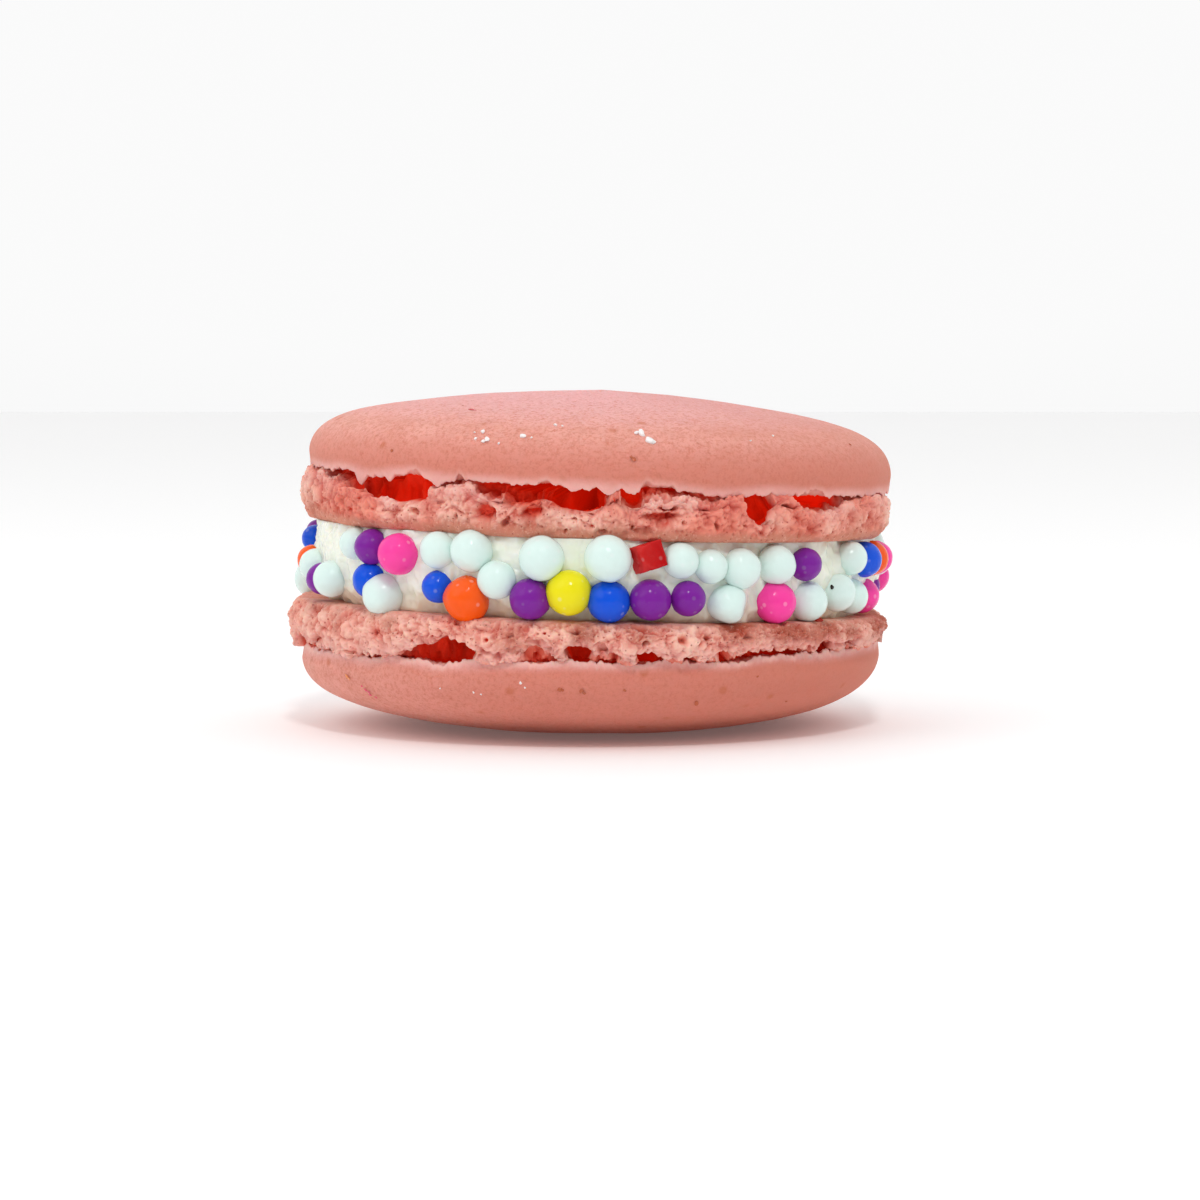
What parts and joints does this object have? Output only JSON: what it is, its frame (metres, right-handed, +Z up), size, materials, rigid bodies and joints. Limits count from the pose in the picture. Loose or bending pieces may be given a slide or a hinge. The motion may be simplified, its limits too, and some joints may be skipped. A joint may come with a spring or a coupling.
{
  "type": "french macaron",
  "caption": "Filled macaron: smooth domed almond meringue shells with ragged crumbly feet, joined by a wedge of cream whose edge is rolled in coloured sugar pearls.",
  "frame": {"origin": "centre of the macaron's footprint, on the surface it rests on", "axes": "+Z up through both shells, -Y towards the side with the widest show of pearls, +X to its right"},
  "size_m": [0.0486, 0.0496, 0.0266],
  "materials": {
    "shell": "matte baked almond meringue, pale salmon pink, with a fine grain and darker red where it has torn",
    "cream": "soft off-white cream with a faint moist sheen",
    "pearl_white": "satin sugar pearl",
    "pearl_purple": "satin sugar pearl",
    "pearl_pink": "satin sugar pearl",
    "pearl_blue": "satin sugar pearl",
    "pearl_orange": "satin sugar pearl",
    "pearl_yellow": "satin sugar pearl",
    "pearl_red": "rough lump of coloured sugar"
  },
  "bodies": {
    "root": {"lower_shell": "shell", "filling": "cream", "upper_shell": "shell"}
  },
  "joints": []
}
